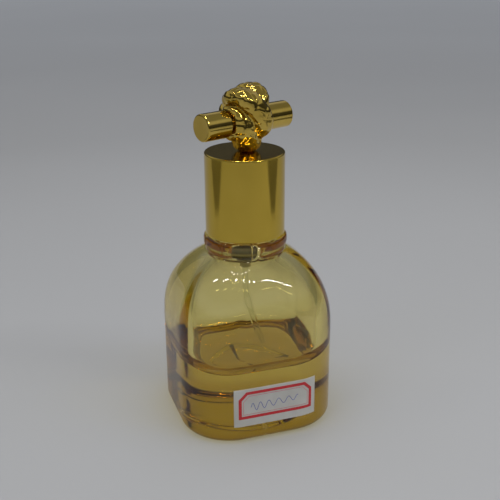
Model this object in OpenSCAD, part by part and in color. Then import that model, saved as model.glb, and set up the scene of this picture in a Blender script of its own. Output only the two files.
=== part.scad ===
// Spray perfume bottle: thick tinted glass, crimped pump, push-on cap with a knot and bar ornament.
// Origin: centre of the base, on the surface it stands on. +Z up, label side faces -Y.

/* [Bottle] */
// Width of the square glass body
body_w = 48; // [46:0.5:50]
// Radius of the body's upright corners
corner_r = 15.6; // [13:0.2:17]
// Height at which the walls start to close into the dome
shoulder_z = 30; // [28:0.5:32]
// Height of the dome's top
dome_z = 54; // [53.5:0.1:54.5]
// Thickness of the solid glass under the cavity
base_t = 20; // [16:0.5:21]
// Thickness of the side walls
wall_t = 4.4; // [3.6:0.1:5]
// Radius of the rounded edge round the base
heel_r = 2.6; // [1.5:0.1:3]

/* [Neck] */
// Radius of the glass ring under the cap
ring_r = 12.7; // [12.3:0.1:13.2]
// Height of the ring's upper face
ring_top_z = 58.6; // [58.4:0.1:58.7]
// Radius of the bore for the pump
bore_r = 5.2; // [5:0.1:5.4]

/* [Cap] */
// Radius of the cap
cap_r = 12; // [11.8:0.1:12.4]
// Height of the cap, without the ornament
cap_h = 24.8; // [24.8:0.1:26]
// Turn of the cap and ornament about the upright axis
cap_turn = 20.3; // [0:0.1:359]

/* [Ornament] */
// Length of the bar over both ends
bar_len = 31.2; // [29:0.2:34]
// Radius of the bar's ends
bar_r = 4; // [3.5:0.1:4.2]
// Height of the bar's axis over the cap
bar_rise = 9; // [9:0.1:9.4]
// Width of the knot's strap
strap_w = 7; // [6.4:0.1:7.4]
// Thickness of the knot's strap
strap_t = 5.6; // [5:0.1:5.8]

/* [Pump] */
// Travel of the spray button
stroke = 4; // [3:0.1:4]
// Radius of the spray button
button_r = 6.4; // [6:0.1:6.6]
// Outer radius of the dip tube
tube_r = 1; // [0.9:0.05:1]

/* [Label] */
// Width and height of the paper label
label_w = 26; // [20:0.5:28]
label_h = 12.5; // [10:0.5:14]

/* [Hidden] */
$fn = 64;

// Running clearance between turned parts, and the small gap between parts that only rest together
run_gap = 0.03;
rest_gap = 0.05;

// Body loft
arc_steps = 12;              // facets of each upright corner
dome_top_w = 9.6;            // half width where the dome meets the neck
dome_n = 2.46;               // how late the dome starts to close
dome_m = 1.55;               // how round it is at the top
corner_law = 2.57;           // how fast the corners grow into a circle
cavity_r = 11;               // corner radius of the cavity
cavity_floor_r = 6.5;        // rounding between the cavity's floor and walls
roof_t = 3.6;                // glass over the cavity
punt_r = 15;                 // shallow recess under the base
punt_depth = 0.7;

// Neck finish
ring_low_z = 55;             // lower face of the ring
ring_edge_r = 1.2;           // rounding of the ring's edges
groove_depth = 0.7;          // groove between dome and ring
neck_root = 6;               // how far the neck reaches down into the dome
lip_r = 7.5;                 // bead that the ferrule grips
lip_z0 = 61;
mouth_z = 64.2;
neck_r = 6.7;

// Pump stack, from the mouth up
gasket_t = 0.8;
flange_z = mouth_z + gasket_t;
flange_t = 1;
ferrule_t = 0.4;
ferrule_top = flange_z + flange_t + ferrule_t;
ferrule_in = lip_r + 0.1;
turret_r = 4.2;
turret_top = ferrule_top + 2.2;
stem_r = 1.6;
stem_bore = 0.8;
chamber_r = 3.3;
chamber_floor = 53.1;
ball_r = 1.2;
seat_r = 0.6;
seat_z = 50.3;
ball_cage_r = 1.5;
ball_z = seat_z - seat_r + sqrt(2) * (ball_r + 0.02);  // rests on a 45 degree seat
ball_lip_r = 1.05;
ball_lip_z = 52.65;
socket_z = 49.5;
tail_z = 46.5;
tail_r = 1.7;
bend_z = 44;                 // where the dip tube starts to bend
bend_r = 55;
bend_a = 24.5;
bend_heading = -16;
gasket_in_z = 63.8;
piston_top = 63.2;
piston_z = 60.4;
stem_z = 59.6;
stem_foot_r = 2.3;           // flange that carries the piston
port_z = 61.6;               // cross hole into the stem
port_r = 0.35;
spring_wire = 0.25;
spring_r = 2.45;
spring_turns = 4.5;

// Button: it stands its whole travel above the ferrule and the turret
button_z = ferrule_top + stroke + 0.2;
button_h = 8.8;
button_top = button_z + button_h;
shell_t = 0.4;
socket_top = turret_top + stroke + 0.4;
socket_play = 0.5;           // between the turret and the button's skirt
stem_top = socket_top + 3;
jet_z = button_z + 6.6;
passage_r = 0.6;             // from the stem to the jet
insert_r = 2.1;
insert_len = 2.6;
insert_back = 0.4;           // room behind the insert for the spray to swirl
insert_recess = 0.35;        // the insert's face lies this far inside the shell
swirl_r = 0.9;
orifice_r = 0.25;

// Collar and cap
collar_r = 8.5;
collar_t = 0.4;
collar_z = ring_top_z + 0.3;
cap_z = ring_top_z + 0.3;
cap_top = cap_z + cap_h;
cap_wall = 0.8;
cap_roof = 1;
cap_edge_r = 0.45;
liner_in = collar_r + rest_gap;
liner_out = cap_r - cap_wall - rest_gap;
liner_t = 1.05;
liner_top = 80.1;
rib_t = 0.8;
ribs = 8;
washer_r = 3.3;
washer_t = 0.4;
screw_r = 1.45;
head_r = 2.7;
head_t = 1.2;
head_edge = 0.6;             // chamfer of the head
slot_w = 0.5;                // cross recess in the head
slot_len = 3.2;
slot_depth = 0.65;
screw_len = 4.6;             // thread above the cap, in the knot

// Ornament
rod_r = 2;
rod_cover = 3;               // metal of each bar end beyond the rod
bar_z = cap_top + bar_rise;
knot_half = 7.2;             // half of the gap between the bar's ends
knot_r = 4.6;                // radius of the strap's mid line, between its crossings
cross_r = 1.9;               // how far it swings in and out at a crossing
knot_lift = 2.3;             // how much further the knot stands out at the top
knot_h = 2.8;                // sideways swing of the strap
knot_flare = 0.3;            // more of that swing at the top than at the bottom
knot_shift = 0.5;            // knot's place along the bar
knot_flat = 0.72;            // depth of the knot against its height
knot_phase = 4;              // turn of the crossings round the bar
wrap_x = -4.3;               // turn of the strap round the bar, beside the left bar end
wrap_r = 3.3;
wrap_thick = 2.1;
foot_x = 0.8;                // lobe that sits on the cap and takes the screw
foot_r = 4.7;
foot_sink = 0.85;            // cut off flat where it meets the cap
knot_rings = 48;
strap_step = 360 / knot_rings;
lap = 0.2;                   // degrees by which each length of strap runs into the next
strap_sides = 12;
fixed_gap = 0.03;            // between the cast knot and the rod and screw fixed in it

// ---- shared shapes ----

function smooth_step(x) = x * x * (3 - 2 * x);

// One closed ring of points: a square of half width w with corners of radius r, at height z
function square_ring(w, r, z) = [
    for (q = [0:3]) for (i = [0:arc_steps])
        let (a = 90 * q + 90 * i / arc_steps, c = w - r,
             sx = (q == 0 || q == 3) ? 1 : -1, sy = q < 2 ? 1 : -1)
        [sx * c + r * cos(a), sy * c + r * sin(a), z]
];

// Skin through rings with the same number of points, closed at both ends
module sweep(rings) {
    n = len(rings[0]);
    m = len(rings);
    sides = [
        for (k = [0:m - 2]) for (i = [0:n - 1])
            let (j = (i + 1) % n, a = k * n + i, b = k * n + j, c = b + n, d = a + n)
            each [[a, b, c], [a, c, d]]
    ];
    ends = [[for (i = [n - 1:-1:0]) i], [for (i = [0:n - 1]) (m - 1) * n + i]];
    polyhedron(points = [for (r = rings) each r], faces = concat(sides, ends), convexity = 8);
}

// Skin over a stack of level rings, listed upwards
module loft(rings) {
    sweep([for (k = [len(rings) - 1:-1:0]) rings[k]]);
}

// Ring of revolution between two radii and two heights
module washer(r_in, r_out, z0, z1) {
    rotate_extrude() translate([r_in, z0]) square([r_out - r_in, z1 - z0]);
}

module rod(r, z0, z1) {
    translate([0, 0, z0]) cylinder(r = r, h = z1 - z0);
}

// Places children on the ornament's axis: +Z of the child runs along the bar
module along_bar() {
    rotate([0, 0, cap_turn]) translate([0, 0, bar_z]) rotate([0, 90, 0]) children();
}

// ---- bottle ----

function dome_k(u) = pow(max(0, 1 - pow(u, dome_n)), 1 / dome_m);
function dome_w(w0, top_w, u) = top_w + (w0 - top_w) * dome_k(u);
function dome_r(r0, top_w, w, u) =
    min(0.985 * w, r0 + (top_w - r0) * pow(1 - dome_k(u), corner_law));

// Rings of a rounded block that stands on a rounded edge and closes into a dome
function block_rings(w0, r0, z0, edge, zs, zt, top_w, steps) = concat(
    [for (i = [0:6]) let (a = 15 * i, e = edge * (1 - sin(a)))
        square_ring(w0 - e, max(r0 - e, 2), z0 + edge * (1 - cos(a)))],
    [for (i = [0:steps]) let (u = sin(90 * i / steps), w = dome_w(w0, top_w, u))
        square_ring(w, dome_r(r0, top_w, w, u), zs + (zt - zs) * u)]
);

module glass_outside() {
    loft(block_rings(body_w / 2, corner_r, 0, heel_r, shoulder_z, dome_z, dome_top_w, 22));
    // neck, ring with rounded edges and the bead for the ferrule
    root_z = dome_z - neck_root;
    groove_r = ring_r - groove_depth;
    edge_x = ring_r - ring_edge_r;
    rotate_extrude() polygon(concat(
        [[0, root_z], [groove_r, root_z], [groove_r, ring_low_z - 0.3]],
        [for (a = [-90:15:0]) [edge_x + ring_edge_r * cos(a), ring_low_z + ring_edge_r * (1 + sin(a))]],
        [for (a = [0:15:90]) [edge_x + ring_edge_r * cos(a), ring_top_z - ring_edge_r * (1 - sin(a))]],
        [[neck_r, ring_top_z], [neck_r, lip_z0], [lip_r, lip_z0 + 0.5], [lip_r, mouth_z - 0.6],
         [lip_r - 0.6, mouth_z], [0, mouth_z]]
    ));
}

module glass_cavity() {
    w = body_w / 2 - wall_t;
    loft(block_rings(w, cavity_r, base_t, cavity_floor_r, shoulder_z + 1, dome_z - roof_t, bore_r, 16));
    rod(bore_r, dome_z - roof_t - 2, mouth_z + 1);
}

module glass_bottle() {
    color([0.85, 0.68, 0.2, 0.5]) difference() {
        glass_outside();
        glass_cavity();
        rod(punt_r, -1, punt_depth);
    }
}

// Square with exactly round corners, extruded up
module round_block(w, r, z0, z1) {
    c = w - r;
    translate([0, 0, z0]) linear_extrude(z1 - z0) union() {
        square([2 * w, 2 * c], center = true);
        square([2 * c, 2 * w], center = true);
        for (x = [-c, c]) for (y = [-c, c]) translate([x, y]) circle(r = r);
    }
}

// Paper that follows the flat front and the start of both corners
module paper_label() {
    label_t = 0.12;
    stand_off = 0.01;
    shift_x = 1.2;
    mid_z = 12;
    inner = body_w / 2 + stand_off;
    color("white") difference() {
        intersection() {
            round_block(inner + label_t, corner_r + stand_off + label_t,
                        mid_z - label_h / 2, mid_z + label_h / 2);
            translate([shift_x - label_w / 2, -body_w, 0]) cube([label_w, body_w, body_w]);
        }
        round_block(inner, corner_r + stand_off, 0, body_w);
    }
}

// ---- pump ----

module neck_gasket() {
    color("ivory") washer(bore_r - 0.2, lip_r - 0.2, mouth_z, flange_z);
}

module crimp_ferrule() {
    lip_z = lip_z0 - 0.35;
    color("goldenrod") rotate_extrude() polygon([
        [turret_r + 0.1, ferrule_top - ferrule_t], [ferrule_in, ferrule_top - ferrule_t],
        [ferrule_in, lip_z + 0.3], [neck_r + 0.3, lip_z], [neck_r + 0.3, lip_z - ferrule_t],
        [ferrule_in + ferrule_t, lip_z - 0.1],
        [ferrule_in + ferrule_t, ferrule_top - 0.2], [ferrule_in + ferrule_t - 0.2, ferrule_top],
        [turret_r + 0.1, ferrule_top],
    ]);
}

module pump_housing() {
    wall = 0.8;
    step_z = chamber_floor - wall;
    cage_out = ball_cage_r + wall + 0.4;
    color("whitesmoke") rotate_extrude() polygon([
        [chamber_r, flange_z + flange_t], [lip_r - 0.3, flange_z + flange_t], [lip_r - 0.3, flange_z],
        [chamber_r + 1.2, flange_z], [chamber_r + 1.2, flange_z - 3], [chamber_r + wall, flange_z - 4],
        [chamber_r + wall, step_z], [cage_out, step_z - 1.2], [cage_out, socket_z + 0.4],
        [tail_r, socket_z - 0.4], [tail_r, tail_z], [tube_r + 0.01, tail_z], [tube_r + 0.01, socket_z],
        [seat_r, socket_z], [seat_r, seat_z],
        [ball_cage_r, seat_z + ball_cage_r - seat_r], [ball_cage_r, ball_lip_z],
        [ball_lip_r, ball_lip_z], [ball_lip_r, chamber_floor], [chamber_r, chamber_floor],
    ]);
}

module pump_turret() {
    plug_z = gasket_in_z + gasket_t;
    color("white") rotate_extrude() polygon([
        [stem_r + run_gap, plug_z], [chamber_r - 0.04, plug_z], [chamber_r - 0.04, flange_z + flange_t],
        [turret_r, flange_z + flange_t], [turret_r, turret_top - 0.4], [turret_r - 0.4, turret_top],
        [stem_r + run_gap, turret_top],
    ]);
}

module stem_gasket() {
    color("dimgray") washer(stem_r + run_gap, chamber_r - 0.06, gasket_in_z, gasket_in_z + gasket_t);
}

module check_ball() {
    color("silver") translate([0, 0, ball_z]) sphere(r = ball_r);
}

module piston() {
    lip = chamber_r - run_gap;
    waist = chamber_r - 0.5;
    color("white") rotate_extrude() polygon([
        [stem_r + run_gap, piston_z], [waist - 0.2, piston_z], [lip, piston_z - 0.5],
        [lip, piston_z + 0.4], [waist, piston_z + 0.9], [waist, piston_top - 0.9],
        [lip, piston_top - 0.5], [lip, piston_top], [stem_r + run_gap, piston_top],
    ]);
}

module pump_stem() {
    color("white") difference() {
        union() {
            rod(stem_r, stem_z, stem_top);
            rod(stem_foot_r, stem_z, piston_z - 0.02);
        }
        rod(stem_bore, port_z - 0.6, stem_top + 1);
        translate([-stem_r - 1, 0, port_z]) rotate([0, 90, 0]) cylinder(r = port_r, h = 2 * stem_r + 2);
    }
}

// Coil with closed, square ends that sits between the chamber's floor and the stem
module pump_spring() {
    per_turn = 16;
    z0 = chamber_floor + spring_wire + 0.02;
    z1 = stem_z - spring_wire - 0.02;
    count = spring_turns * per_turn;
    color("silver") sweep([
        for (k = [0:count]) let (s = k / count, a = 360 * k / per_turn, z = z0 + (z1 - z0) * smooth_step(s))
        [for (i = [0:7]) let (b = 45 * i, r = spring_r + spring_wire * cos(b))
            [r * cos(a), r * sin(a), z + spring_wire * sin(b)]]
    ]);
}

// Straight out of the pump, then one long bend that ends just over the cavity's floor
module dip_tube() {
    color([0.9, 0.9, 0.9]) difference() {
        dip_tube_solid(tube_r, bend_a, socket_z - 0.05);
        dip_tube_solid(tube_r * 0.6, bend_a + 1, socket_z + 1);
    }
}

module dip_tube_solid(r, angle, top_z) {
    rod(r, bend_z, top_z);
    rotate([0, 0, bend_heading]) translate([bend_r, 0, bend_z]) rotate([90, 0, 0]) rotate([0, 0, 180])
        rotate_extrude(angle = angle) translate([bend_r, 0]) circle(r = r);
}

// ---- spray button ----

module button_core() {
    out_r = button_r - shell_t - 0.02;
    color("white") difference() {
        rod(out_r, button_z + 0.1, button_top - shell_t - 0.02);
        rod(turret_r + socket_play, button_z - 1, socket_top);
        rod(stem_r + run_gap, socket_top - 1, stem_top + 0.1);
        rod(stem_bore, stem_top - 0.1, jet_z);
        translate([0, 0, jet_z]) rotate([90, 0, 0]) cylinder(r = passage_r, h = button_r - insert_len);
        translate([0, -button_r + insert_len, jet_z]) rotate([90, 0, 0])
            cylinder(r = insert_r + 0.01, h = button_r);
    }
}

module button_shell() {
    edge = 0.5;
    color("gold") difference() {
        rotate_extrude() polygon(concat(
            [[0, button_top - shell_t], [button_r - shell_t, button_top - shell_t],
             [button_r - shell_t, button_z], [button_r, button_z]],
            [for (a = [0:18:90]) [button_r - edge + edge * cos(a), button_top - edge + edge * sin(a)]],
            [[0, button_top]]
        ));
        translate([0, 0, jet_z]) rotate([90, 0, 0]) cylinder(r = insert_r + 0.05, h = button_r + 2);
    }
}

module nozzle_insert() {
    face_y = -button_r + insert_recess;
    color("white") translate([0, face_y, jet_z]) rotate([90, 0, 0]) difference() {
        translate([0, 0, -insert_len + insert_back]) cylinder(r = insert_r, h = insert_len - insert_back);
        translate([0, 0, -insert_len]) cylinder(r = orifice_r, h = insert_len + 1);
        translate([0, 0, -insert_len]) cylinder(r = swirl_r, h = insert_len - 2 * insert_back);
        translate([0, 0, -0.3]) cylinder(r1 = orifice_r, r2 = 1.2, h = 0.31);
    }
}

module collar_ring() {
    top_z = ferrule_top + 0.1;
    lip_in = button_r + 0.4;
    color("gold") rotate_extrude() polygon([
        [collar_r - collar_t, collar_z], [collar_r, collar_z], [collar_r, top_z + 0.1],
        [collar_r - 0.3, top_z + 0.4], [lip_in, top_z + 0.4], [lip_in, top_z], [collar_r - collar_t, top_z],
    ]);
}

// ---- cap ----

module cap_shell() {
    inner = cap_r - cap_wall;
    hole_r = screw_r + 0.15;
    bevel = 0.15;
    color("gold") rotate_extrude() polygon(concat(
        [[hole_r, cap_top - cap_roof], [inner, cap_top - cap_roof], [inner, cap_z + bevel],
         [inner + bevel, cap_z], [cap_r - bevel, cap_z], [cap_r, cap_z + bevel]],
        [for (a = [0:15:90])
            [cap_r - cap_edge_r * (1 - cos(a)), cap_top - cap_edge_r * (1 - sin(a))]],
        [[hole_r, cap_top]]
    ));
}

module cap_liner() {
    foot = cap_z + 0.5;
    foot_t = 1.2;
    disc_t = 0.8;
    grip_r = liner_in + liner_t;
    color("white") {
        washer(liner_in, grip_r, foot, liner_top + disc_t / 2);
        washer(liner_in, liner_out, foot, foot + foot_t);
        rod(liner_out, liner_top, liner_top + disc_t);
        for (k = [0:ribs - 1]) rotate([0, 0, 360 * k / ribs])
            translate([grip_r - 0.3, -rib_t / 2, foot + foot_t / 2])
                cube([liner_out - grip_r, rib_t, liner_top - foot]);
    }
}

module screw_washer() {
    color("silver") washer(screw_r + 0.05, washer_r, cap_top - cap_roof - washer_t, cap_top - cap_roof);
}

module ornament_screw() {
    under = cap_top - cap_roof - washer_t;
    color("silver") difference() {
        union() {
            rotate_extrude() polygon([
                [0, under - head_t], [head_r - head_edge, under - head_t],
                [head_r, under - head_t + head_edge], [head_r, under], [0, under],
            ]);
            rod(screw_r, under - 0.1, cap_top + screw_len);
        }
        for (a = [0, 90]) rotate([0, 0, a]) translate([-slot_len / 2, -slot_w / 2, under - head_t - 0.1])
            cube([slot_len, slot_w, slot_depth + 0.1]);
    }
}

// ---- ornament ----

// Mid line of the strap: two leads and three bights wound round the bar, as cast in one piece.
// The point's angle is about the bar, from the front (0) over the top (90).
function strap_point(t) =
    let (a = 2 * t - 90, c = 3 * t + knot_phase,
         r = knot_r + cross_r * cos(c) + knot_lift * (1 + sin(a)) / 2)
    [knot_shift - knot_h * (1 + knot_flare * sin(a)) * sin(c), -knot_flat * r * cos(a), r * sin(a)];

function unit(v) = v / norm(v);

function strap_ring(t) =
    let (p = strap_point(t), tan = unit(strap_point(t + 0.5) - strap_point(t - 0.5)),
         out0 = unit([0, p[1], p[2]]), out = unit(out0 - (out0 * tan) * tan), side = cross(tan, out))
    [for (i = [0:strap_sides - 1]) let (b = 360 * i / strap_sides)
        p + side * (strap_w / 2) * cos(b) + out * (strap_t / 2) * sin(b)];

knot_low = min([for (k = [0:knot_rings - 1]) min([for (p = strap_ring(strap_step * k)) p[2]])]);

module ornament_knot() {
    color("gold") difference() {
        union() {
            rotate([0, 0, cap_turn]) translate([0, 0, cap_top + rest_gap - knot_low])
                for (k = [0:knot_rings - 1]) hull()
                    sweep([strap_ring(strap_step * k - lap), strap_ring(strap_step * (k + 1) + lap)]);
            along_bar() translate([0, 0, wrap_x])
                rotate_extrude($fn = 32) translate([wrap_r, 0]) circle(r = wrap_thick, $fn = 16);
            rotate([0, 0, cap_turn]) translate([foot_x, 0, cap_top + rest_gap + foot_r - foot_sink])
                sphere(r = foot_r, $fn = 48);
        }
        rod(cap_r, cap_top - foot_r, cap_top + rest_gap);
        rod(screw_r + fixed_gap, cap_top - 1, cap_top + screw_len + 0.2);
        along_bar() translate([0, 0, -knot_half]) cylinder(r = rod_r + fixed_gap, h = 2 * knot_half);
    }
}

module ornament_rod() {
    half = bar_len / 2 - rod_cover;
    color("goldenrod") along_bar() translate([0, 0, -half]) cylinder(r = rod_r, h = 2 * half);
}

module bar_end() {
    edge = 0.5;
    depth = bar_len / 2 - rod_cover + 0.1 - knot_half;
    difference() {
        rotate_extrude() polygon(concat(
            [[0, knot_half], [bar_r - 0.2, knot_half], [bar_r, knot_half + 0.2]],
            [for (a = [0:18:90]) [bar_r - edge + edge * cos(a), bar_len / 2 - edge + edge * sin(a)]],
            [[0, bar_len / 2]]
        ));
        translate([0, 0, knot_half - 1]) cylinder(r = rod_r + 0.01, h = depth + 1);
    }
}

module bar_end_left() {
    color("gold") along_bar() mirror([0, 0, 1]) bar_end();
}

module bar_end_right() {
    color("gold") along_bar() bar_end();
}

glass_bottle();
paper_label();
neck_gasket();
crimp_ferrule();
pump_housing();
pump_turret();
stem_gasket();
dip_tube();
pump_spring();
check_ball();
piston();
pump_stem();
button_core();
button_shell();
nozzle_insert();
collar_ring();
cap_shell();
cap_liner();
ornament_screw();
screw_washer();
ornament_knot();
ornament_rod();
bar_end_left();
bar_end_right();
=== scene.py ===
import math

import bmesh
import bpy
from mathutils import Matrix, Vector, noise


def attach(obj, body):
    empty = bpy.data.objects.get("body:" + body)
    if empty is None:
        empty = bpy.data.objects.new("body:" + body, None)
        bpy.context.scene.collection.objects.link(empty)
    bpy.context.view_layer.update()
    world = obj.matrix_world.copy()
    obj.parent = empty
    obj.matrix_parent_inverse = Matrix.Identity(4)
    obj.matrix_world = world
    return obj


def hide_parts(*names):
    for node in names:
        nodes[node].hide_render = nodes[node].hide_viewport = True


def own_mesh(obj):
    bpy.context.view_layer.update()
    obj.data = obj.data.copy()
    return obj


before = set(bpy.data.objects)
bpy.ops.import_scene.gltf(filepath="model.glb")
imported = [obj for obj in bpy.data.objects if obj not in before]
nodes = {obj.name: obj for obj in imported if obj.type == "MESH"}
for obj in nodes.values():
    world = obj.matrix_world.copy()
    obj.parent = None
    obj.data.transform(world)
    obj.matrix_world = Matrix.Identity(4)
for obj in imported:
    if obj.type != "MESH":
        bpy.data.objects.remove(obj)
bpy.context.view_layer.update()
scene = bpy.context.scene

MM = 0.001
VIEW = Vector((0.2977, 0.8851, -0.3577))    # direction of the camera

# Sizes shared with the CAD model, in millimetres
BODY_W = 48.0
CORNER_R = 15.6
SHOULDER_Z = 30.0
DOME_Z = 54.0
HEEL_R = 2.6
DOME_TOP_W = 9.6
DOME_N = 2.46
DOME_M = 1.55
CORNER_LAW = 2.57
BASE_T = 20.0
WALL_T = 4.4
CAVITY_R = 11.0
CAVITY_FLOOR_R = 6.5
ROOF_T = 3.6
PUNT_R = 15.0
PUNT_DEPTH = 0.7
PUNT_EDGE = 2.6
RING_R = 12.7
RING_LOW = 55.0
RING_TOP = 58.6
RING_EDGE = 1.2
GROOVE_DEPTH = 0.75
NECK_R = 6.7
LIP_R = 7.5
LIP_Z0 = 61.0
MOUTH_Z = 64.2
BORE_R = 5.2
CAP_TOP = RING_TOP + 0.3 + 24.8
CAP_TURN = 20.3
REST_GAP = 0.05
BAR_Z = CAP_TOP + 9.0
STRAP_W = 7.0
STRAP_T = 5.6
KNOT_R = 4.6
CROSS_R = 1.9
KNOT_LIFT = 2.3
KNOT_H = 2.8
KNOT_FLARE = 0.3
KNOT_SHIFT = 0.5
KNOT_FLAT = 0.72
KNOT_PHASE = 4.0
WRAP_X = -4.3
WRAP_R = 3.3
WRAP_THICK = 2.1
FOOT_X = 0.8
FOOT_R = 4.7
FOOT_SINK = 0.85


# ---------------------------------------------------------------- camera

def make_camera():
    data = bpy.data.cameras.new("camera")
    cam = bpy.data.objects.new("camera", data)
    scene.collection.objects.link(cam)
    data.sensor_width = 36.0
    data.lens = 61.8
    data.clip_start = 0.01
    data.clip_end = 20
    forward = VIEW.normalized()
    right = forward.cross(Vector((0, 0, 1))).normalized()
    up = right.cross(forward)
    roll = -0.0065
    right2 = right * math.cos(roll) + up * math.sin(roll)
    up2 = up * math.cos(roll) - right * math.sin(roll)
    turn = Matrix((right2, up2, -forward)).transposed()
    cam.matrix_world = Matrix.Translation(Vector((-0.07716, -0.23388, 0.14676))) @ turn.to_4x4()
    scene.camera = cam
    return cam


make_camera()


def level_view():
    """Level unit vectors, along the view and to its right."""
    look = Vector((VIEW.x, VIEW.y, 0)).normalized()
    return look, Vector((look.y, -look.x, 0))


# ---------------------------------------------------------------- mesh helpers

def new_object(name, verts, faces, smooth=True):
    mesh = bpy.data.meshes.new(name)
    mesh.from_pydata([Vector(v) * MM for v in verts], [], faces)
    mesh.validate()
    mesh.update()
    obj = bpy.data.objects.new(name, mesh)
    scene.collection.objects.link(obj)
    for p in mesh.polygons:
        p.use_smooth = smooth
    return obj


def outward(obj):
    bm = bmesh.new()
    bm.from_mesh(obj.data)
    bmesh.ops.recalc_face_normals(bm, faces=bm.faces)
    bm.to_mesh(obj.data)
    bm.free()
    return obj


def square_ring(w, r, z, steps=20):
    """Points round a square of half width w whose corners have radius r."""
    r = min(r, w)
    c = w - r
    points = []
    for q in range(4):
        sx = 1 if q in (0, 3) else -1
        sy = 1 if q < 2 else -1
        for i in range(steps + 1):
            a = math.radians(90 * q + 90 * i / steps)
            points.append((sx * c + r * math.cos(a), sy * c + r * math.sin(a), z))
        # points along the straight side keep the shading even
        nsx = 1 if (q + 1) % 4 in (0, 3) else -1
        nsy = 1 if (q + 1) % 4 < 2 else -1
        a = math.radians(90 * (q + 1))
        ax, ay = sx * c + r * math.cos(a), sy * c + r * math.sin(a)
        bx, by = nsx * c + r * math.cos(a), nsy * c + r * math.sin(a)
        for k in (1, 2, 3):
            t = k / 4
            points.append((ax + (bx - ax) * t, ay + (by - ay) * t, z))
    return points


def stack(name, rings, smooth=True):
    """Closed skin over rings with equal numbers of points. Both ends are fanned to a centre point."""
    n = len(rings[0])
    verts = [p for ring in rings for p in ring]
    faces = []
    for k in range(len(rings) - 1):
        for i in range(n):
            j = (i + 1) % n
            faces.append((k * n + i, k * n + j, (k + 1) * n + j, (k + 1) * n + i))
    first, last = rings[0][0][2], rings[-1][0][2]
    verts.append((0, 0, first))
    verts.append((0, 0, last))
    a, b = len(verts) - 2, len(verts) - 1
    top = (len(rings) - 1) * n
    for i in range(n):
        j = (i + 1) % n
        faces.append((a, j, i))
        faces.append((b, top + i, top + j))
    return outward(new_object(name, verts, faces, smooth))


def dome_k(u):
    return max(0.0, 1 - u ** DOME_N) ** (1 / DOME_M)


def dome_section(w0, r0, top_w, u):
    k = dome_k(u)
    w = top_w + (w0 - top_w) * k
    r = min(w, r0 + (top_w - r0) * (1 - k) ** CORNER_LAW)
    return w, r


# ---------------------------------------------------------------- glass bottle

def glass_rings():
    w0 = BODY_W / 2
    rings = []

    def add(w, r, z):
        rings.append(square_ring(w, r, z))

    # recess under the base, then the ring it stands on
    punt_flat = PUNT_R - PUNT_EDGE
    for w in (3.0, 9.0, punt_flat):
        add(w, w, PUNT_DEPTH)
    for i in range(1, 6):
        t = i / 5
        w = punt_flat + PUNT_EDGE * t
        add(w, w, PUNT_DEPTH * (0.5 + 0.5 * math.cos(math.pi * t)))
    for t in (0.25, 0.5, 0.75):
        w = PUNT_R + (w0 - HEEL_R - PUNT_R) * t
        add(w, PUNT_R + (CORNER_R - HEEL_R - PUNT_R) * t, 0)
    for i in range(0, 11):
        a = math.radians(9 * i)
        e = HEEL_R * (1 - math.sin(a))
        add(w0 - e, CORNER_R - e, HEEL_R * (1 - math.cos(a)))
    for z in (6, 10, 14, 18, 22, 26):
        add(w0, CORNER_R, z)
    # dome, until it is as narrow as the neck
    steps = 46
    for i in range(steps + 1):
        u = math.sin(math.radians(90 * i / steps))
        w, r = dome_section(w0, CORNER_R, DOME_TOP_W, u)
        z = SHOULDER_Z + (DOME_Z - SHOULDER_Z) * u
        if w < RING_R - 0.2:
            break
        add(w, r, z)
        last_z = z
    # groove, ring, neck, bead and mouth: all round
    groove = RING_R - GROOVE_DEPTH
    add(groove + 0.12, groove + 0.12, last_z + 0.25)
    add(groove, groove, last_z + 0.7)
    add(groove, groove, RING_LOW - 0.5)
    add(groove + 0.1, groove + 0.1, RING_LOW - 0.15)
    for i in range(0, 9):
        a = math.radians(-90 + 90 * i / 8)
        r = RING_R - RING_EDGE + RING_EDGE * math.cos(a)
        if r > groove + 0.12:
            add(r, r, RING_LOW + RING_EDGE + RING_EDGE * math.sin(a))
    for i in range(0, 9):
        a = math.radians(90 * i / 8)
        r = RING_R - RING_EDGE + RING_EDGE * math.cos(a)
        add(r, r, RING_TOP - RING_EDGE + RING_EDGE * math.sin(a))
    for r, z in (
        (9.5, RING_TOP), (NECK_R + 0.5, RING_TOP), (NECK_R + 0.1, RING_TOP + 0.15),
        (NECK_R, RING_TOP + 0.5), (NECK_R, LIP_Z0 - 0.15), (NECK_R + 0.15, LIP_Z0),
        (LIP_R - 0.1, LIP_Z0 + 0.4), (LIP_R, LIP_Z0 + 0.7), (LIP_R, MOUTH_Z - 0.7),
        (LIP_R - 0.15, MOUTH_Z - 0.25), (LIP_R - 0.6, MOUTH_Z), (BORE_R + 0.4, MOUTH_Z),
        (BORE_R + 0.08, MOUTH_Z - 0.1), (BORE_R, MOUTH_Z - 0.4),
    ):
        add(r, r, z)
    # inside, downwards
    wi = BODY_W / 2 - WALL_T
    zs, zt = SHOULDER_Z + 1, DOME_Z - ROOF_T
    for z in (60, 56, zt + 1.5):
        add(BORE_R, BORE_R, z)
    for i in range(steps, -1, -1):
        u = math.sin(math.radians(90 * i / steps))
        w, r = dome_section(wi, CAVITY_R, BORE_R, u)
        if w < BORE_R + 0.25:
            continue
        add(w, r, zs + (zt - zs) * u)
    for z in (29, 28, 27.2):
        add(wi, CAVITY_R, z)
    for i in range(0, 13):
        a = math.radians(90 - 90 * i / 12)
        e = CAVITY_FLOOR_R * (1 - math.sin(a))
        add(wi - e, max(CAVITY_R - e, 2), BASE_T + CAVITY_FLOOR_R * (1 - math.cos(a)))
    for t in (0.75, 0.5, 0.25):
        w = (wi - CAVITY_FLOOR_R) * t
        add(w, max(w * 0.35, 1.0), BASE_T)
    return rings


glass = stack("glass_body", glass_rings())
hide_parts("glass_bottle")
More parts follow.
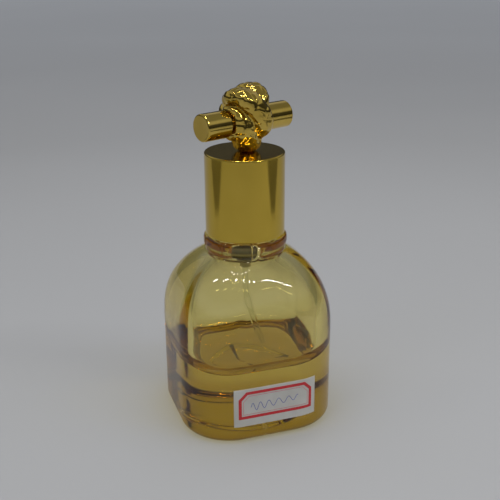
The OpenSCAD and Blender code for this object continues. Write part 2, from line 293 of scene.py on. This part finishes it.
# the lacquer ends at the mouth: in the stack, the vertices of the bore and cavity come after the outside's
inside = next(i for i, v in enumerate(glass.data.vertices)
              if v.co.z > (MOUTH_Z - 0.02) * MM and v.co.xy.length < (LIP_R - 0.7) * MM)
total = len(glass.data.vertices)
under = total - 2      # centre point of the recess under the base
coat = glass.data.attributes.new("coated", "FLOAT", "POINT")
coat.data.foreach_set("value", [1.0 if i < inside or i == under else 0.0 for i in range(total)])
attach(glass, "bottle")


# ---------------------------------------------------------------- knot

def strap_point(t):
    a = math.radians(2 * t - 90)
    c = math.radians(3 * t + KNOT_PHASE)
    r = KNOT_R + CROSS_R * math.cos(c) + KNOT_LIFT * (1 + math.sin(a)) / 2
    return Vector((KNOT_SHIFT - KNOT_H * (1 + KNOT_FLARE * math.sin(a)) * math.sin(c),
                   -KNOT_FLAT * r * math.cos(a), r * math.sin(a)))


def strap_rings(rings, sides, square=0.85):
    """Cross sections of the strap, a little flatter on their faces than an ellipse."""
    out = []
    for k in range(rings):
        t = 360 * k / rings
        p = strap_point(t)
        tan = (strap_point(t + 0.5) - strap_point(t - 0.5)).normalized()
        radial = Vector((0, p.y, p.z)).normalized()
        normal = (radial - tan * radial.dot(tan)).normalized()
        side = tan.cross(normal)
        ring = []
        for i in range(sides):
            b = 2 * math.pi * i / sides
            c, d = math.cos(b), math.sin(b)
            c = math.copysign(abs(c) ** square, c)
            d = math.copysign(abs(d) ** square, d)
            ring.append(p + side * (STRAP_W / 2 * c) + normal * (STRAP_T / 2 * d))
        out.append(ring)
    return out


def closed_tube(name, rings):
    """Skin round a closed loop of rings."""
    sides = len(rings[0])
    verts = [p for ring in rings for p in ring]
    faces = []
    for k in range(len(rings)):
        k2 = (k + 1) % len(rings)
        for i in range(sides):
            j = (i + 1) % sides
            faces.append((k * sides + i, k2 * sides + i, k2 * sides + j, k * sides + j))
    return outward(new_object(name, verts, faces))


def wrap_rings(place):
    """The turn of the strap round the bar, beside the left bar end."""
    rings = []
    for k in range(72):
        a = 2 * math.pi * k / 72
        out = Vector((0, math.cos(a), math.sin(a)))
        ring = []
        for i in range(24):
            b = 2 * math.pi * i / 24
            q = out * (WRAP_R + WRAP_THICK * math.cos(b)) + Vector((WRAP_X + WRAP_THICK * math.sin(b), 0, 0))
            ring.append(place @ q)
        rings.append(ring)
    return rings


def make_knot():
    made = strap_rings(240, 36)
    low = min(p.z for ring in made for p in ring)
    spin = Matrix.Rotation(math.radians(CAP_TURN), 4, "Z")
    turn = Matrix.Translation((0, 0, CAP_TOP + REST_GAP - low)) @ spin
    bar = Matrix.Translation((0, 0, BAR_Z)) @ spin
    obj = closed_tube("knot_cast", [[turn @ p for p in ring] for ring in made])
    wrap = closed_tube("knot_wrap", wrap_rings(bar))
    bm = bmesh.new()
    bm.from_mesh(obj.data)
    bm.from_mesh(wrap.data)
    foot_centre = spin @ Vector((FOOT_X, 0, CAP_TOP + REST_GAP + FOOT_R - FOOT_SINK)) * MM
    foot = Matrix.Translation(foot_centre) @ Matrix.Scale(MM, 4)
    bmesh.ops.create_uvsphere(bm, u_segments=48, v_segments=32, radius=FOOT_R, matrix=foot)
    bm.to_mesh(obj.data)
    bm.free()
    bpy.data.objects.remove(wrap)
    # the strands are cast in one piece: fuse them, then soften the creases a little
    remesh = obj.modifiers.new("fuse", "REMESH")
    remesh.mode = "VOXEL"
    remesh.voxel_size = 0.16 * MM
    soften = obj.modifiers.new("soften", "SMOOTH")
    soften.factor = 0.5
    soften.iterations = 5
    mesh = bpy.data.meshes.new_from_object(obj.evaluated_get(bpy.context.evaluated_depsgraph_get()))
    obj.modifiers.clear()
    obj.data = mesh
    # broad dents and flat plates of the casting; its foot stays on the cap
    normals = [v.normal.copy() for v in mesh.vertices]
    floor = (CAP_TOP + 0.03) * MM
    fold, dent_depth, plate_depth = 0.42, 0.24, 0.20
    for v, normal in zip(mesh.vertices, normals):
        q = v.co / MM
        dent = noise.noise(q * 0.36 + Vector((3.1, 7.7, 1.3)))
        near, second = noise.voronoi(q * 0.30 + Vector((1.7, 4.2, 8.8)))[0][:2]
        plate = min(second - near, fold) / fold
        v.co += normal * MM * (dent_depth * dent + plate_depth * plate - plate_depth)
        v.co.z = max(v.co.z, floor)
    for face in mesh.polygons:
        face.use_smooth = True
    return obj


knot = make_knot()
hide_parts("ornament_knot")
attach(knot, "cap")


# ---------------------------------------------------------------- return spring

SPRING_LOW = 53.1
SPRING_HIGH = 59.6
SPRING_R = 2.45
SPRING_WIRE = 0.25
SPRING_TURNS = 4.5


def make_spring():
    """Round wire coil with closed ends between the chamber's floor and the stem."""
    per_turn, sides = 40, 12
    count = round(SPRING_TURNS * per_turn)
    inset = SPRING_WIRE + 0.02
    low, high = SPRING_LOW + inset, SPRING_HIGH - inset
    rings = []
    for k in range(count + 1):
        s, a = k / count, 2 * math.pi * k / per_turn
        z = low + (high - low) * s * s * (3 - 2 * s)
        ring = []
        for i in range(sides):
            b = 2 * math.pi * i / sides
            r = SPRING_R + SPRING_WIRE * math.cos(b)
            ring.append((r * math.cos(a), r * math.sin(a), z + SPRING_WIRE * math.sin(b)))
        rings.append(ring)
    verts = [p for ring in rings for p in ring]
    faces = [tuple(range(sides)), tuple(range(count * sides + sides - 1, count * sides - 1, -1))]
    for k in range(count):
        for i in range(sides):
            j = (i + 1) % sides
            faces.append((k * sides + i, (k + 1) * sides + i, (k + 1) * sides + j, k * sides + j))
    return outward(new_object("spring_coil", verts, faces))


spring = make_spring()
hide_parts("pump_spring")
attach(spring, "bottle")
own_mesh(spring)


# ---------------------------------------------------------------- materials

def nodes_of(name):
    mat = bpy.data.materials.new(name)
    mat.use_nodes = True
    tree = mat.node_tree
    tree.nodes.clear()
    out = tree.nodes.new("ShaderNodeOutputMaterial")
    shader = tree.nodes.new("ShaderNodeBsdfPrincipled")
    tree.links.new(shader.outputs["BSDF"], out.inputs["Surface"])
    return mat, tree, shader, out


def object_coords(tree):
    return tree.nodes.new("ShaderNodeTexCoord").outputs["Object"]


def noise_node(tree, vector, scale, detail=3.0, rough=0.5):
    n = tree.nodes.new("ShaderNodeTexNoise")
    n.inputs["Scale"].default_value = scale
    n.inputs["Detail"].default_value = detail
    n.inputs["Roughness"].default_value = rough
    tree.links.new(vector, n.inputs["Vector"])
    return n.outputs["Fac"]


def remap(tree, value, lo, hi):
    m = tree.nodes.new("ShaderNodeMapRange")
    m.inputs["From Min"].default_value = 0.3
    m.inputs["From Max"].default_value = 0.7
    m.inputs["To Min"].default_value = lo
    m.inputs["To Max"].default_value = hi
    tree.links.new(value, m.inputs["Value"])
    return m.outputs["Result"]


def mix_colour(tree, value, a, b):
    m = tree.nodes.new("ShaderNodeMix")
    m.data_type = "RGBA"
    m.inputs["A"].default_value = (*a, 1)
    m.inputs["B"].default_value = (*b, 1)
    tree.links.new(value, m.inputs["Factor"])
    return m.outputs["Result"]


def math_node(tree, operation, a, b):
    m = tree.nodes.new("ShaderNodeMath")
    m.operation = operation
    for socket, value in zip(m.inputs, (a, b)):
        if isinstance(value, (int, float)):
            socket.default_value = value
        else:
            tree.links.new(value, socket)
    return m.outputs["Value"]


def bump(tree, height, shader, strength, distance):
    b = tree.nodes.new("ShaderNodeBump")
    b.inputs["Strength"].default_value = strength
    b.inputs["Distance"].default_value = distance
    tree.links.new(height, b.inputs["Height"])
    tree.links.new(b.outputs["Normal"], shader.inputs["Normal"])


def polished_metal(name, dark, light, rough_lo, rough_hi, bump_strength=0.04, scale=90):
    mat, tree, shader, _ = nodes_of(name)
    co = object_coords(tree)
    shader.inputs["Metallic"].default_value = 1.0
    tone = noise_node(tree, co, scale, 4)
    tree.links.new(mix_colour(tree, remap(tree, tone, 0, 1), dark, light), shader.inputs["Base Color"])
    fine = noise_node(tree, co, scale * 6, 5, 0.6)
    tree.links.new(remap(tree, fine, rough_lo, rough_hi), shader.inputs["Roughness"])
    bump(tree, noise_node(tree, co, scale * 3, 3), shader, bump_strength, 0.0002)
    return mat


def plastic(name, dark, light, rough_lo, rough_hi, subsurface=0.0):
    mat, tree, shader, _ = nodes_of(name)
    co = object_coords(tree)
    tone = noise_node(tree, co, 160, 3)
    tree.links.new(mix_colour(tree, remap(tree, tone, 0, 1), dark, light), shader.inputs["Base Color"])
    tree.links.new(remap(tree, noise_node(tree, co, 700, 4), rough_lo, rough_hi), shader.inputs["Roughness"])
    shader.inputs["Subsurface Weight"].default_value = subsurface
    bump(tree, noise_node(tree, co, 900, 3), shader, 0.05, 0.0001)
    return mat


def tinted_glass():
    """Clear glass, slightly tinted through, with a translucent gold lacquer on its outside."""
    mat, tree, shader, out = nodes_of("tinted_glass_solid")
    co = object_coords(tree)
    coated = tree.nodes.new("ShaderNodeAttribute")
    coated.attribute_name = "coated"
    drift = remap(tree, noise_node(tree, co, 60, 2), 0.0, 1.0)
    thin = mix_colour(tree, drift, (0.985, 0.885, 0.37), (0.99, 0.905, 0.42))
    # the lacquer looks deeper where it is seen on edge, and is thicker round the foot
    edge = tree.nodes.new("ShaderNodeLayerWeight")
    edge.inputs["Blend"].default_value = 0.5
    steep = math_node(tree, "POWER", edge.outputs["Facing"], 1.7)
    split = tree.nodes.new("ShaderNodeSeparateXYZ")
    tree.links.new(co, split.inputs["Vector"])
    low = tree.nodes.new("ShaderNodeMapRange")
    low.inputs["From Min"].default_value = 0.005
    low.inputs["From Max"].default_value = 0.001
    low.inputs["To Max"].default_value = 0.8
    tree.links.new(split.outputs["Z"], low.inputs["Value"])
    coat_depth = tree.nodes.new("ShaderNodeMix")
    coat_depth.data_type = "RGBA"
    coat_depth.inputs["B"].default_value = (0.60, 0.38, 0.04, 1)
    tree.links.new(thin, coat_depth.inputs["A"])
    below_neck = tree.nodes.new("ShaderNodeMapRange")
    below_neck.inputs["From Min"].default_value = 0.056
    below_neck.inputs["From Max"].default_value = 0.050
    tree.links.new(split.outputs["Z"], below_neck.inputs["Value"])
    on_edge = math_node(tree, "MULTIPLY", steep, below_neck.outputs["Result"])
    tree.links.new(math_node(tree, "MAXIMUM", on_edge, low.outputs["Result"]), coat_depth.inputs["Factor"])
    coat = coat_depth.outputs["Result"]
    tint = tree.nodes.new("ShaderNodeMix")
    tint.data_type = "RGBA"
    tint.inputs["A"].default_value = (1, 1, 1, 1)
    tree.links.new(coat, tint.inputs["B"])
    tree.links.new(coated.outputs["Fac"], tint.inputs["Factor"])
    tree.links.new(tint.outputs["Result"], shader.inputs["Base Color"])
    shader.inputs["Transmission Weight"].default_value = 1.0
    shader.inputs["IOR"].default_value = 1.5
    tree.links.new(remap(tree, noise_node(tree, co, 300, 4), 0.0, 0.012), shader.inputs["Roughness"])
    bump(tree, noise_node(tree, co, 45, 2), shader, 0.03, 0.0004)
    # light that is wholly reflected inside the lacquered skin has crossed the lacquer twice
    fresnel = tree.nodes.new("ShaderNodeFresnel")
    fresnel.inputs["IOR"].default_value = 1.5
    total = math_node(tree, "GREATER_THAN", fresnel.outputs["Fac"], 0.98)
    back = tree.nodes.new("ShaderNodeNewGeometry").outputs["Backfacing"]
    bounced = math_node(tree, "MULTIPLY", math_node(tree, "MULTIPLY", total, back), coated.outputs["Fac"])
    twice = tree.nodes.new("ShaderNodeBsdfGlossy")
    twice.inputs["Color"].default_value = (0.84, 0.70, 0.17, 1)
    twice.inputs["Roughness"].default_value = 0.01
    glass = tree.nodes.new("ShaderNodeMixShader")
    tree.links.new(bounced, glass.inputs["Fac"])
    tree.links.new(shader.outputs["BSDF"], glass.inputs[1])
    tree.links.new(twice.outputs["BSDF"], glass.inputs[2])
    # lamps shine through it, so that what is under and inside it is lit
    path = tree.nodes.new("ShaderNodeLightPath")
    passes = math_node(tree, "MAXIMUM", path.outputs["Is Shadow Ray"], path.outputs["Is Diffuse Ray"])
    through = tree.nodes.new("ShaderNodeBsdfTransparent")
    through.inputs["Color"].default_value = (0.97, 0.95, 0.86, 1)
    mix = tree.nodes.new("ShaderNodeMixShader")
    tree.links.new(passes, mix.inputs["Fac"])
    tree.links.new(glass.outputs["Shader"], mix.inputs[1])
    tree.links.new(through.outputs["BSDF"], mix.inputs[2])
    tree.links.new(mix.outputs["Shader"], out.inputs["Surface"])
    volume = tree.nodes.new("ShaderNodeVolumeAbsorption")
    volume.inputs["Color"].default_value = (0.84, 0.72, 0.10, 1)
    volume.inputs["Density"].default_value = 36.0
    tree.links.new(volume.outputs["Volume"], out.inputs["Volume"])
    return mat


def shaded_valve_plastic():
    """Natural polymer with painted shade: a dark band round the inlet valve, and a little darker below it than
    above.
    """
    mat, tree, shader, _ = nodes_of("plastic_valve_painted_shade")
    co = object_coords(tree)
    split = tree.nodes.new("ShaderNodeSeparateXYZ")
    tree.links.new(co, split.inputs["Vector"])
    height = tree.nodes.new("ShaderNodeMapRange")
    height.inputs["From Min"].default_value = 0.046
    height.inputs["From Max"].default_value = 0.060
    tree.links.new(split.outputs["Z"], height.inputs["Value"])
    ramp = tree.nodes.new("ShaderNodeValToRGB")
    ramp.color_ramp.elements[0].color = (0.34, 0.325, 0.25, 1)
    ramp.color_ramp.elements[1].color = (0.44, 0.42, 0.33, 1)
    # painted shade: a dark band between about 51 and 54 mm up, round the inlet valve
    for place, colour in ((0.28, (0.30, 0.285, 0.22, 1)), (0.36, (0.05, 0.045, 0.03, 1)),
                          (0.56, (0.05, 0.045, 0.03, 1)), (0.66, (0.36, 0.345, 0.27, 1))):
        ramp.color_ramp.elements.new(place).color = colour
    tree.links.new(height.outputs["Result"], ramp.inputs["Fac"])
    tree.links.new(ramp.outputs["Color"], shader.inputs["Base Color"])
    tree.links.new(remap(tree, noise_node(tree, co, 700, 4), 0.25, 0.4), shader.inputs["Roughness"])
    return mat


def clear_tube():
    """Clear polymer tube. Its low index keeps it as faint as the photo shows it."""
    mat, tree, shader, _ = nodes_of("plastic_clear_tube")
    co = object_coords(tree)
    tone = remap(tree, noise_node(tree, co, 200, 3), 0, 1)
    tree.links.new(mix_colour(tree, tone, (0.90, 0.91, 0.88), (0.97, 0.97, 0.95)), shader.inputs["Base Color"])
    shader.inputs["Transmission Weight"].default_value = 1.0
    shader.inputs["IOR"].default_value = 1.07
    tree.links.new(remap(tree, noise_node(tree, co, 500, 3), 0.04, 0.1), shader.inputs["Roughness"])
    return mat


def paint(obj, mat):
    obj.data.materials.clear()
    obj.data.materials.append(mat)


GOLD = polished_metal("gold_polished", (0.58, 0.405, 0.058), (0.63, 0.445, 0.07), 0.10, 0.15)
GOLD_CAST = polished_metal("gold_cast", (0.58, 0.40, 0.075), (0.68, 0.49, 0.11), 0.05, 0.10, 0.10, 140)
GOLD_DARK = polished_metal("gold_shadowed", (0.28, 0.19, 0.06), (0.40, 0.28, 0.09), 0.22, 0.35)
FERRULE = polished_metal("ferrule_bright", (0.62, 0.46, 0.16), (0.70, 0.54, 0.22), 0.18, 0.28)
STEEL = polished_metal("steel_bright", (0.55, 0.56, 0.58), (0.68, 0.69, 0.70), 0.15, 0.3)
NATURAL = plastic("plastic_natural", (0.72, 0.72, 0.68), (0.80, 0.80, 0.77), 0.25, 0.4, 0.15)
WHITE = plastic("plastic_white", (0.78, 0.78, 0.77), (0.84, 0.84, 0.83), 0.25, 0.38)
RUBBER = plastic("gasket_soft", (0.55, 0.54, 0.48), (0.62, 0.61, 0.56), 0.55, 0.75)
PAPER = plastic("label_paper", (0.52, 0.51, 0.48), (0.60, 0.59, 0.56), 0.6, 0.8)
GLASS = tinted_glass()
VALVE = shaded_valve_plastic()
TUBE = clear_tube()

for name, mat in {
    "paper_label": PAPER, "neck_gasket": RUBBER, "crimp_ferrule": FERRULE, "pump_housing": VALVE,
    "pump_turret": WHITE, "stem_gasket": RUBBER, "dip_tube": TUBE, "check_ball": STEEL,
    "piston": NATURAL, "pump_stem": WHITE, "button_core": WHITE, "button_shell": GOLD, "nozzle_insert": WHITE,
    "collar_ring": GOLD, "cap_shell": GOLD, "cap_liner": WHITE, "ornament_screw": STEEL, "screw_washer": STEEL,
    "ornament_rod": GOLD_DARK, "bar_end_left": GOLD_CAST, "bar_end_right": GOLD_CAST,
}.items():
    paint(nodes[name], mat)
paint(glass, GLASS)
paint(knot, GOLD_CAST)
paint(spring, STEEL)


# ---------------------------------------------------------------- label print

def on_front(x, z, lift):
    """A point on the front of the body, following the start of the round corners."""
    w = BODY_W / 2 + lift
    c = BODY_W / 2 - CORNER_R
    r = CORNER_R + lift
    if abs(x) <= c:
        return (x, -w, z)
    s = math.copysign(1, x)
    a = (abs(x) - c) / r
    return (s * (c + r * math.sin(a)), -(c + r * math.cos(a)), z)


def ribbon(name, path, width, lift, closed, thickness=0.02):
    """A flat printed line along a path of (across, up) points on the front, as a thin closed solid."""
    n = len(path)
    verts, faces = [], []
    for k in range(n):
        p = Vector(path[k])
        a = Vector(path[(k - 1) % n] if closed or k > 0 else path[k])
        b = Vector(path[(k + 1) % n] if closed or k < n - 1 else path[k])
        d1 = (p - a).normalized() if (p - a).length > 1e-9 else (b - p).normalized()
        d2 = (b - p).normalized() if (b - p).length > 1e-9 else d1
        tangent = (d1 + d2).normalized()
        side = Vector((-tangent.y, tangent.x))
        mitre = 1 / max(0.5, side.dot(Vector((-d1.y, d1.x))))
        for s, h in ((-1, 0), (1, 0), (1, 1), (-1, 1)):
            q = p + side * (s * width / 2 * mitre)
            verts.append(on_front(q.x, q.y, lift + h * thickness))
    last = n if closed else n - 1
    for k in range(last):
        a, b = 4 * k, 4 * ((k + 1) % n)
        for i in range(4):
            j = (i + 1) % 4
            faces.append((a + i, b + i, b + j, a + j))
    if not closed:
        faces.append((0, 1, 2, 3))
        faces.append((4 * n - 4, 4 * n - 1, 4 * n - 2, 4 * n - 3))
    return outward(new_object(name, verts, faces, smooth=False))


def outline(x0, x1, z0, z1, cut, step=0.8):
    """Points round a rectangle whose two upper corners are cut off."""
    corners = [(x0, z0), (x1, z0), (x1, z1 - cut), (x1 - cut, z1), (x0 + cut, z1), (x0, z1 - cut)]
    path = []
    for k, a in enumerate(corners):
        b = corners[(k + 1) % len(corners)]
        length = math.dist(a, b)
        count = max(1, round(length / step))
        for i in range(count):
            t = i / count
            path.append((a[0] + (b[0] - a[0]) * t, a[1] + (b[1] - a[1]) * t))
    return path


def ink(name, dark, light):
    mat, tree, shader, _ = nodes_of(name)
    co = object_coords(tree)
    tree.links.new(mix_colour(tree, remap(tree, noise_node(tree, co, 1500, 4), 0, 1), dark, light),
                   shader.inputs["Base Color"])
    tree.links.new(remap(tree, noise_node(tree, co, 900, 2), 0.5, 0.7), shader.inputs["Roughness"])
    return mat


LABEL_LIFT = 0.14
frame_line = ribbon("label_frame", outline(-9.96, 12.5, 8.7, 16.8, 2.1), 0.95, LABEL_LIFT, True)
inner_line = ribbon("label_inner_line", outline(-8.95, 11.5, 9.7, 15.8, 1.8), 0.16, LABEL_LIFT, True)
# a plain wave of a pen being tried, with no letters in it
wave = []
for i in range(120):
    t = i / 119
    swing = math.sin(11 * math.pi * t + 1.2 * math.sin(5 * t))
    wave.append((-6.6 + 15.0 * t, 11.9 + 0.9 * t + (1.3 - 0.5 * t) * swing))
pen_mark = ribbon("pen_mark", wave, 0.2, LABEL_LIFT, False)
RED = ink("label_red", (0.50, 0.022, 0.03), (0.62, 0.035, 0.042))
PALE_RED = ink("label_pale_red", (0.55, 0.2, 0.2), (0.7, 0.3, 0.3))
BLUE = ink("pen_blue", (0.10, 0.12, 0.32), (0.20, 0.24, 0.5))
for piece, mat in ((frame_line, RED), (inner_line, PALE_RED), (pen_mark, BLUE)):
    paint(piece, mat)
    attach(piece, "bottle")


# ---------------------------------------------------------------- stage and light

def stage_material():
    """Matt grey paper. Far from the bottle it glows a little, as if the room's own lamps lit it."""
    mat, tree, shader, _ = nodes_of("backdrop_paper")
    co = object_coords(tree)
    flat = tree.nodes.new("ShaderNodeVectorMath")
    flat.operation = "MULTIPLY"
    flat.inputs[1].default_value = (1, 1, 0)
    tree.links.new(co, flat.inputs[0])
    reach = tree.nodes.new("ShaderNodeVectorMath")
    reach.operation = "LENGTH"
    tree.links.new(flat.outputs["Vector"], reach.inputs[0])
    away = tree.nodes.new("ShaderNodeMapRange")
    away.inputs["From Min"].default_value = 0.38
    away.inputs["From Max"].default_value = 1.70
    tree.links.new(reach.outputs["Value"], away.inputs["Value"])
    glow = tree.nodes.new("ShaderNodeValToRGB")
    glow.color_ramp.elements[0].position = 0.0
    glow.color_ramp.elements[0].color = (0, 0, 0, 1)
    glow.color_ramp.elements[1].position = 1.0
    glow.color_ramp.elements[1].color = (0.150, 0.158, 0.172, 1)
    for place, level in ((0.15, 0.040), (0.43, 0.100), (0.77, 0.135)):
        glow.color_ramp.elements.new(place).color = (level, level * 1.05, level * 1.14, 1)
    tree.links.new(away.outputs["Result"], glow.inputs["Fac"])
    tree.links.new(glow.outputs["Color"], shader.inputs["Emission Color"])
    shader.inputs["Emission Strength"].default_value = 1.0
    grain = remap(tree, noise_node(tree, co, 3, 2), 0, 1)
    paper = mix_colour(tree, grain, (0.37, 0.375, 0.39), (0.39, 0.395, 0.41))
    tree.links.new(paper, shader.inputs["Base Color"])
    shader.inputs["Roughness"].default_value = 0.85
    return mat


def floor_sheet(name, near, far, half, drop):
    """A level sheet of paper under the bottle, from near to far along the view, drop below the base."""
    look, side = level_view()
    steps = 12
    verts, faces = [], []
    for k in range(steps + 1):
        for i in range(steps + 1):
            p = look * (near + (far - near) * k / steps) + side * (half * (2 * i / steps - 1))
            verts.append((p.x, p.y, -drop))
    for k in range(steps):
        for i in range(steps):
            a = k * (steps + 1) + i
            faces.append((a, a + 1, a + steps + 2, a + steps + 1))
    obj = new_object(name, verts, faces)
    paint(obj, PAPER_GREY)
    return obj


AIR_GAP = 0.15       # glass only touches what it stands on at a few points
PAPER_GREY = stage_material()
floor_sheet("floor_near", -330, 640, 400, AIR_GAP)
floor_sheet("floor_far", -2600, 2600, 2600, AIR_GAP + 0.05)


def flag(name, side_sign):
    """A grey card beside the bottle. Only polished metal and glass see it, as streaks."""
    look, right = level_view()
    side = right * side_sign
    away = 150
    points = []
    for d, z in ((-35, 20), (5, 20), (45, 50), (-85, 50)):
        p = look * d + side * away
        points.append((p.x, p.y, z))
    card = new_object(name, points, [(0, 1, 2, 3)])
    mat, _, shader, _ = nodes_of(name + "_cloth")
    shader.inputs["Base Color"].default_value = (0.24, 0.24, 0.24, 1)
    shader.inputs["Roughness"].default_value = 0.9
    paint(card, mat)
    card.visible_camera = False
    card.visible_diffuse = False
    card.visible_shadow = False


flag("flag_left", -1)
flag("flag_right", 1)


def area(name, place, target, size, power, colour=(1, 1, 1), size_y=None):
    data = bpy.data.lights.new(name, "AREA")
    data.energy = power
    data.color = colour
    data.size = size
    if size_y:
        data.shape = "RECTANGLE"
        data.size_y = size_y
    obj = bpy.data.objects.new(name, data)
    scene.collection.objects.link(obj)
    obj.location = place
    obj.rotation_euler = (Vector(target) - Vector(place)).to_track_quat("-Z", "Y").to_euler()
    return obj


for lamp in (
    area("top_soft", (0.0, 0.05, 0.75), (0, 0, 0.03), 0.7, 2.5, (1, 0.99, 0.97)),
    area("left_soft", (-0.6, -0.25, 0.35), (0, 0, 0.05), 0.4, 0.8, (0.97, 0.98, 1), 0.6),
    area("right_soft", (0.55, -0.3, 0.35), (0, 0, 0.05), 0.35, 0.8, (1, 0.99, 0.97), 0.6),
):
    lamp.visible_transmission = False
    lamp.visible_glossy = False


def small_lamps():
    """Short strip lamps in a row and a ring, which show as small bright dashes on the glass and metal."""
    target, warm = (0, -0.01, 0.05), (1, 0.99, 0.96)
    # the row runs from start to end, and passes middle
    start = Vector((-0.30, 0.10, 0.57))
    middle = Vector((0.144, -0.268, 0.574))
    end = Vector((0.362, -0.273, 0.459))
    pull = middle * 2 - (start + end) / 2
    count = 11
    for i in range(count):
        t = i / (count - 1)
        place = start * (1 - t) ** 2 + pull * (2 * t * (1 - t)) + end * t ** 2
        area("strip_%02d" % i, place, target, 0.012, 0.10, warm, 0.055)
    centre = Vector((0.005, 0.078, 0.645))
    radius, count = 0.11, 14
    for i in range(count):
        turn = 2 * math.pi * i / count
        place = centre + Vector((radius * math.cos(turn), radius * math.sin(turn), 0))
        area("ring_%02d" % i, place, target, 0.014, 0.02, warm)


small_lamps()

world = bpy.data.worlds.new("world")
scene.world = world
world.use_nodes = True


def studio_world(tree):
    """A dark room with a pale ceiling. The camera, directly or through glass, sees it pale grey."""
    co = tree.nodes.new("ShaderNodeTexCoord").outputs["Generated"]
    split = tree.nodes.new("ShaderNodeSeparateXYZ")
    tree.links.new(co, split.inputs["Vector"])
    height = tree.nodes.new("ShaderNodeMapRange")
    height.inputs["From Min"].default_value = -1.0
    tree.links.new(split.outputs["Z"], height.inputs["Value"])
    ramp = tree.nodes.new("ShaderNodeValToRGB")
    ramp.color_ramp.elements[0].position = 0.0
    ramp.color_ramp.elements[0].color = (0.035, 0.035, 0.038, 1)
    ramp.color_ramp.elements[1].position = 1.0
    ramp.color_ramp.elements[1].color = (0.22, 0.23, 0.24, 1)
    for place, level in ((0.52, 0.035), (0.66, 0.06), (0.72, 0.42), (0.80, 0.42), (0.86, 0.20)):
        ramp.color_ramp.elements.new(place).color = (level, level * 1.02, level * 1.05, 1)
    tree.links.new(height.outputs["Result"], ramp.inputs["Fac"])
    path = tree.nodes.new("ShaderNodeLightPath")
    seen = tree.nodes.new("ShaderNodeMix")
    seen.data_type = "RGBA"
    seen.inputs["B"].default_value = (0.26, 0.272, 0.292, 1)
    through_glass = math_node(tree, "MULTIPLY", path.outputs["Is Transmission Ray"], 0.7)
    looked_at = math_node(tree, "MAXIMUM", path.outputs["Is Camera Ray"], through_glass)
    tree.links.new(looked_at, seen.inputs["Factor"])
    tree.links.new(ramp.outputs["Color"], seen.inputs["A"])
    tree.links.new(seen.outputs["Result"], tree.nodes["Background"].inputs["Color"])


studio_world(world.node_tree)

scene.view_settings.view_transform = "Standard"
scene.cycles.max_bounces = 24
scene.cycles.transmission_bounces = 24
scene.cycles.glossy_bounces = 12
scene.cycles.transparent_max_bounces = 16
